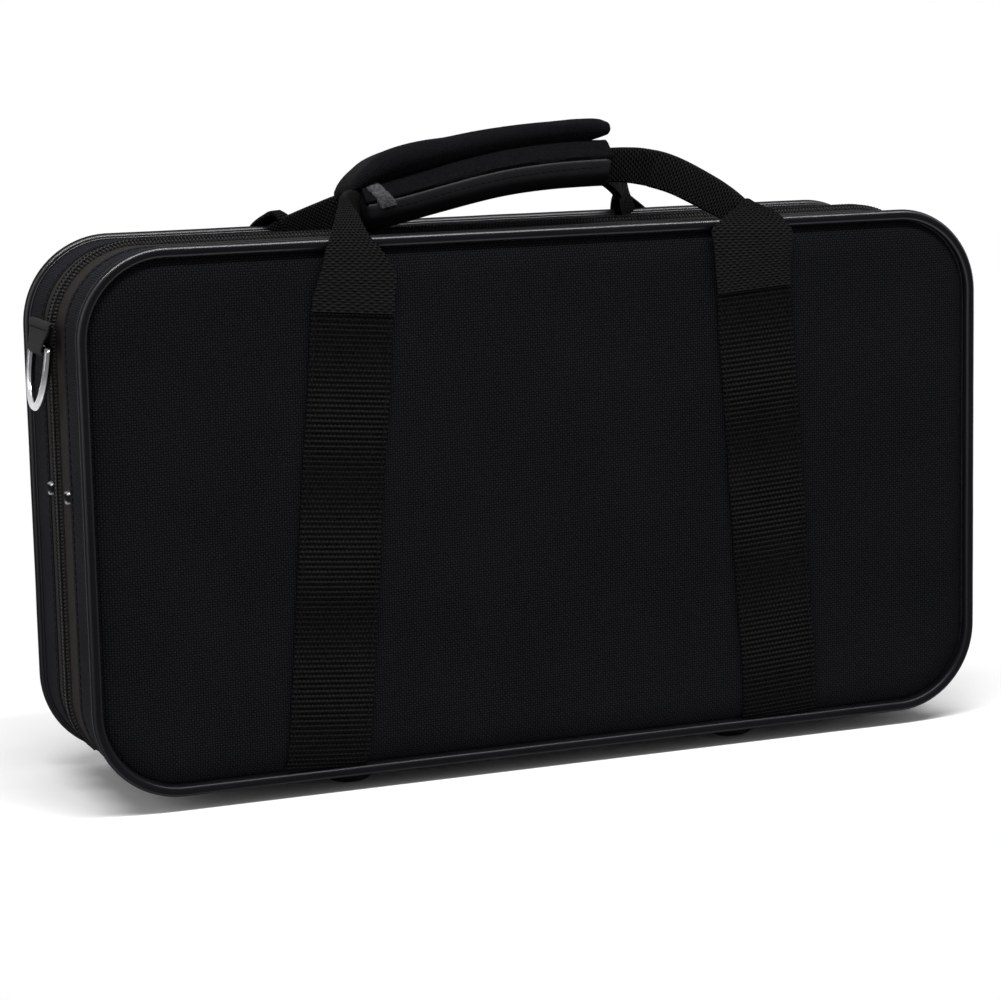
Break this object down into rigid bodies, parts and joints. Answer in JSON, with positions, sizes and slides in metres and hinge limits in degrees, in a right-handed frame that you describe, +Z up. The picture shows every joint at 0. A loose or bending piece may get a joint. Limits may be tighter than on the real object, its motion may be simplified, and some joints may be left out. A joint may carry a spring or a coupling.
{
  "type": "clarinet case",
  "caption": "Soft-shell instrument case on its long edge: zipped board shells in black cloth with corded edges, webbing loops under a wrap grip, D-rings, feet and a fitted insert.",
  "frame": {"origin": "on the floor, under the middle of the case as it stands on its long edge", "axes": "+X to the right end, -Y out of the front (lid) face, +Z up; the two halves meet in the plane Y = 0"},
  "size_m": [0.4112, 0.0997, 0.2642],
  "materials": {
    "face_cloth": "coated twill, matt",
    "side_cloth": "coated twill, matt",
    "vinyl": "soft vinyl cord, half gloss",
    "webbing": "woven nylon webbing with fine cross ribs",
    "tape_cloth": "herringbone zip tape",
    "nylon": "nylon coil teeth",
    "foam_board": "dense foam board",
    "plush_cloth": "short pile plush over foam",
    "grip_leather": "smooth padded leathercloth",
    "fuzzy_tape": "hook and loop tape",
    "chrome": "bright plated wire",
    "dark_metal": "dark nickel plate",
    "foot_rubber": "moulded black rubber, satin"
  },
  "bodies": {
    "rear_half": {"rear_shell_core": "foam_board", "rear_face_cloth": "face_cloth", "rear_side_cloth": "side_cloth", "rear_piping": "vinyl", "rear_zip_tape": "tape_cloth", "rear_zip_coil": "nylon", "rear_hinge_leaf": "side_cloth", "rear_strap_left": "webbing", "rear_strap_right": "webbing", "rear_foot_left": "foot_rubber", "rear_foot_right": "foot_rubber", "case_insert": "plush_cloth", "stay_strap_left": "webbing", "stay_strap_right": "webbing", "stay_rivet_rear_left": "dark_metal", "stay_rivet_rear_right": "dark_metal", "ring_tab_left": "webbing", "ring_tab_right": "webbing"},
    "lid": {"lid_shell_core": "foam_board", "lid_face_cloth": "face_cloth", "lid_side_cloth": "side_cloth", "lid_piping": "vinyl", "lid_zip_tape": "tape_cloth", "lid_zip_coil": "nylon", "lid_hinge_leaf": "side_cloth", "lid_strap_left": "webbing", "lid_strap_right": "webbing", "lid_foot_left": "foot_rubber", "lid_foot_right": "foot_rubber", "lid_lining": "plush_cloth", "lid_pad": "plush_cloth", "stay_rivet_lid_left": "dark_metal", "stay_rivet_lid_right": "dark_metal"},
    "front_handle": {"front_loop_webbing": "webbing", "front_grip_sleeve": "grip_leather", "grip_loop_tape": "fuzzy_tape"},
    "rear_handle": {"rear_loop_webbing": "webbing", "rear_grip_roll": "grip_leather"},
    "flap": {"grip_flap": "grip_leather", "flap_hook_tape": "fuzzy_tape"},
    "ring_left": {"d_ring_left": "chrome"},
    "ring_right": {"d_ring_right": "chrome"},
    "slider": {"zip_slider": "dark_metal"},
    "pull": {"zip_pull": "dark_metal"}
  },
  "joints": [
    {"name": "lid_hinge", "type": "hinge", "parent": "rear_half", "child": "lid", "pos_m": [0, 0, 0.0078], "axis": [1, 0, 0], "range_deg": [0, 95], "deforming": ["stay_strap_left", "stay_strap_right"]},
    {"name": "front_loop_swing", "type": "hinge", "parent": "lid", "child": "front_handle", "pos_m": [0, -0.0475, 0.1935], "axis": [1, 0, 0], "range_deg": [0, 170]},
    {"name": "rear_loop_swing", "type": "hinge", "parent": "rear_half", "child": "rear_handle", "pos_m": [0, 0.0475, 0.1935], "axis": [-1, 0, 0], "range_deg": [0, 150]},
    {"name": "flap_fold", "type": "hinge", "parent": "rear_handle", "child": "flap", "pos_m": [0, 0.0117, 0.25351], "axis": [-0.9912, 0, -0.1322], "range_deg": [0, 90]},
    {"name": "ring_left_swing", "type": "hinge", "parent": "rear_half", "child": "ring_left", "pos_m": [-0.2006, 0, 0.1825], "axis": [0, 1, 0], "range_deg": [-8, 112]},
    {"name": "ring_right_swing", "type": "hinge", "parent": "rear_half", "child": "ring_right", "pos_m": [0.2006, 0, 0.1825], "axis": [0, -1, 0], "range_deg": [-8, 112]},
    {"name": "slider_run", "type": "slide", "parent": "rear_half", "child": "slider", "axis": [0, 0, 1], "range_m": [0, 0.075]},
    {"name": "pull_swing", "type": "hinge", "parent": "slider", "child": "pull", "pos_m": [0.201, 0, 0.062], "axis": [0, -1, 0], "range_deg": [0, 140]}
  ]
}
